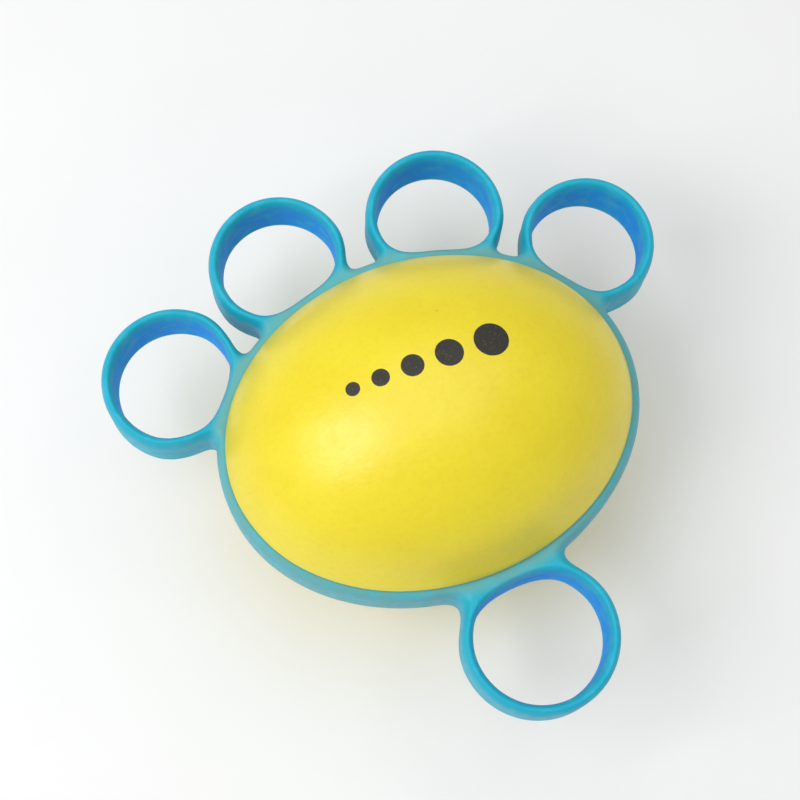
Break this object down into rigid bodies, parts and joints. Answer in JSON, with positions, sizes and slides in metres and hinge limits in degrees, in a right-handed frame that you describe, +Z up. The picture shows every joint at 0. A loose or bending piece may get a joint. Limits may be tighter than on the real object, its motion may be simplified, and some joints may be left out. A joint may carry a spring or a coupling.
{
  "type": "hand grip strengthener",
  "caption": "Soft oval foam ball held round its middle by a moulded silicone belt with round finger loops along one side and a thumb loop opposite, for squeezing and spreading the hand.",
  "frame": {"origin": "on the surface the ball lies on, under the middle of the outline that the loops make", "axes": "+X along the ball's long axis towards the index loop, +Y towards the row of four finger loops, +Z up through the ball from the palm side to the fingertip side"},
  "size_m": [0.1004, 0.102, 0.0574],
  "materials": {
    "ball_foam": "satin skin on soft polyurethane foam, very fine grain",
    "sleeve_silicone": "satin moulded silicone rubber, softly rounded rims"
  },
  "bodies": {
    "sleeve": {"sleeve_belt": "sleeve_silicone", "little_finger_web": "sleeve_silicone", "ring_finger_web": "sleeve_silicone", "middle_finger_web": "sleeve_silicone", "index_finger_web": "sleeve_silicone", "thumb_web": "sleeve_silicone"},
    "ball_front": {"ball_front": "ball_foam"},
    "ball_back": {"ball_back": "ball_foam"},
    "little_finger_loop": {"little_finger_loop": "sleeve_silicone"},
    "ring_finger_loop": {"ring_finger_loop": "sleeve_silicone"},
    "middle_finger_loop": {"middle_finger_loop": "sleeve_silicone"},
    "index_finger_loop": {"index_finger_loop": "sleeve_silicone"},
    "thumb_loop": {"thumb_loop": "sleeve_silicone"}
  },
  "joints": [
    {"name": "squeeze_front", "type": "slide", "parent": "sleeve", "child": "ball_front", "axis": [0, 0, -1], "range_m": [0, 0.006], "stiffness_N_per_m": 5000, "deforming": ["ball_front"]},
    {"name": "squeeze_back", "type": "slide", "parent": "sleeve", "child": "ball_back", "axis": [0, 0, 1], "range_m": [0, 0.006], "stiffness_N_per_m": 5000, "deforming": ["ball_back"]},
    {"name": "little_finger_fold", "type": "hinge", "parent": "sleeve", "child": "little_finger_loop", "pos_m": [-0.03275, 0.02143, 0.0287], "axis": [0.6232, 0.7821, 0], "range_deg": [-30, 30], "stiffness_Nm_per_rad": 0.08, "deforming": ["little_finger_web"]},
    {"name": "ring_finger_fold", "type": "hinge", "parent": "sleeve", "child": "ring_finger_loop", "pos_m": [-0.01261, 0.03445, 0.0287], "axis": [0.9598, 0.2805, 0], "range_deg": [-30, 30], "stiffness_Nm_per_rad": 0.08, "deforming": ["ring_finger_web"]},
    {"name": "middle_finger_fold", "type": "hinge", "parent": "sleeve", "child": "middle_finger_loop", "pos_m": [0.01401, 0.03452, 0.0287], "axis": [0.9615, -0.2749, 0], "range_deg": [-30, 30], "stiffness_Nm_per_rad": 0.08, "deforming": ["middle_finger_web"]},
    {"name": "index_finger_fold", "type": "hinge", "parent": "sleeve", "child": "index_finger_loop", "pos_m": [0.03472, 0.02104, 0.0287], "axis": [0.6114, -0.7913, 0], "range_deg": [-30, 30], "stiffness_Nm_per_rad": 0.08, "deforming": ["index_finger_web"]},
    {"name": "thumb_fold", "type": "hinge", "parent": "sleeve", "child": "thumb_loop", "pos_m": [0.00463, -0.0299, 0.0287], "axis": [-0.997, -0.0779, 0], "range_deg": [-30, 30], "stiffness_Nm_per_rad": 0.08, "deforming": ["thumb_web"]}
  ],
  "couplings": [
    {"joint": "squeeze_back", "follows": "squeeze_front", "ratio": 1}
  ]
}
